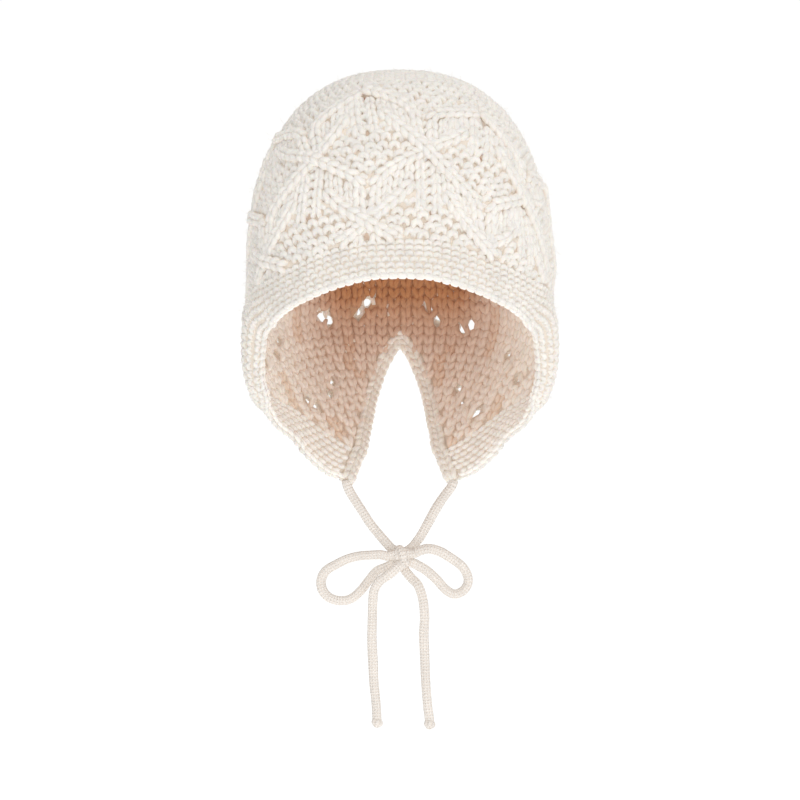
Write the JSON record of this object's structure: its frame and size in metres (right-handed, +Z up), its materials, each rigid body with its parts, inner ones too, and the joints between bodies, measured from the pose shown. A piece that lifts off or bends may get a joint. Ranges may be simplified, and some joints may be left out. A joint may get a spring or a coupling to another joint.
{
  "type": "knitted baby bonnet with chin ties",
  "caption": "Hand-knitted cream baby bonnet with lattice cables, eyelets, ear flaps, a garter face band and knitted chin ties in a bow",
  "frame": {"origin": "the inside of the crown's top, where a head holds the bonnet up", "axes": "+Z up, -Y out of the face opening, +X to the right seen from the front"},
  "size_m": [0.1413, 0.1551, 0.2945],
  "materials": {
    "cream_knit": "chunky cream cotton yarn, cable and reverse stockinette knit, matte and slightly fuzzy",
    "garter_knit": "the same cotton yarn in garter stitch ridges and plain edging",
    "knitted_cord": "flat tubular knitted cord of finer cotton yarn"
  },
  "bodies": {
    "root": {"crown": "cream_knit", "face_band": "garter_knit", "neck_edging": "garter_knit", "tie_left": "knitted_cord", "tie_right": "knitted_cord", "bow_knot": "knitted_cord", "bow_loop_left": "knitted_cord", "bow_loop_right": "knitted_cord", "tail_left": "knitted_cord", "tail_right": "knitted_cord", "end_knot_left": "knitted_cord", "end_knot_right": "knitted_cord"}
  },
  "joints": []
}
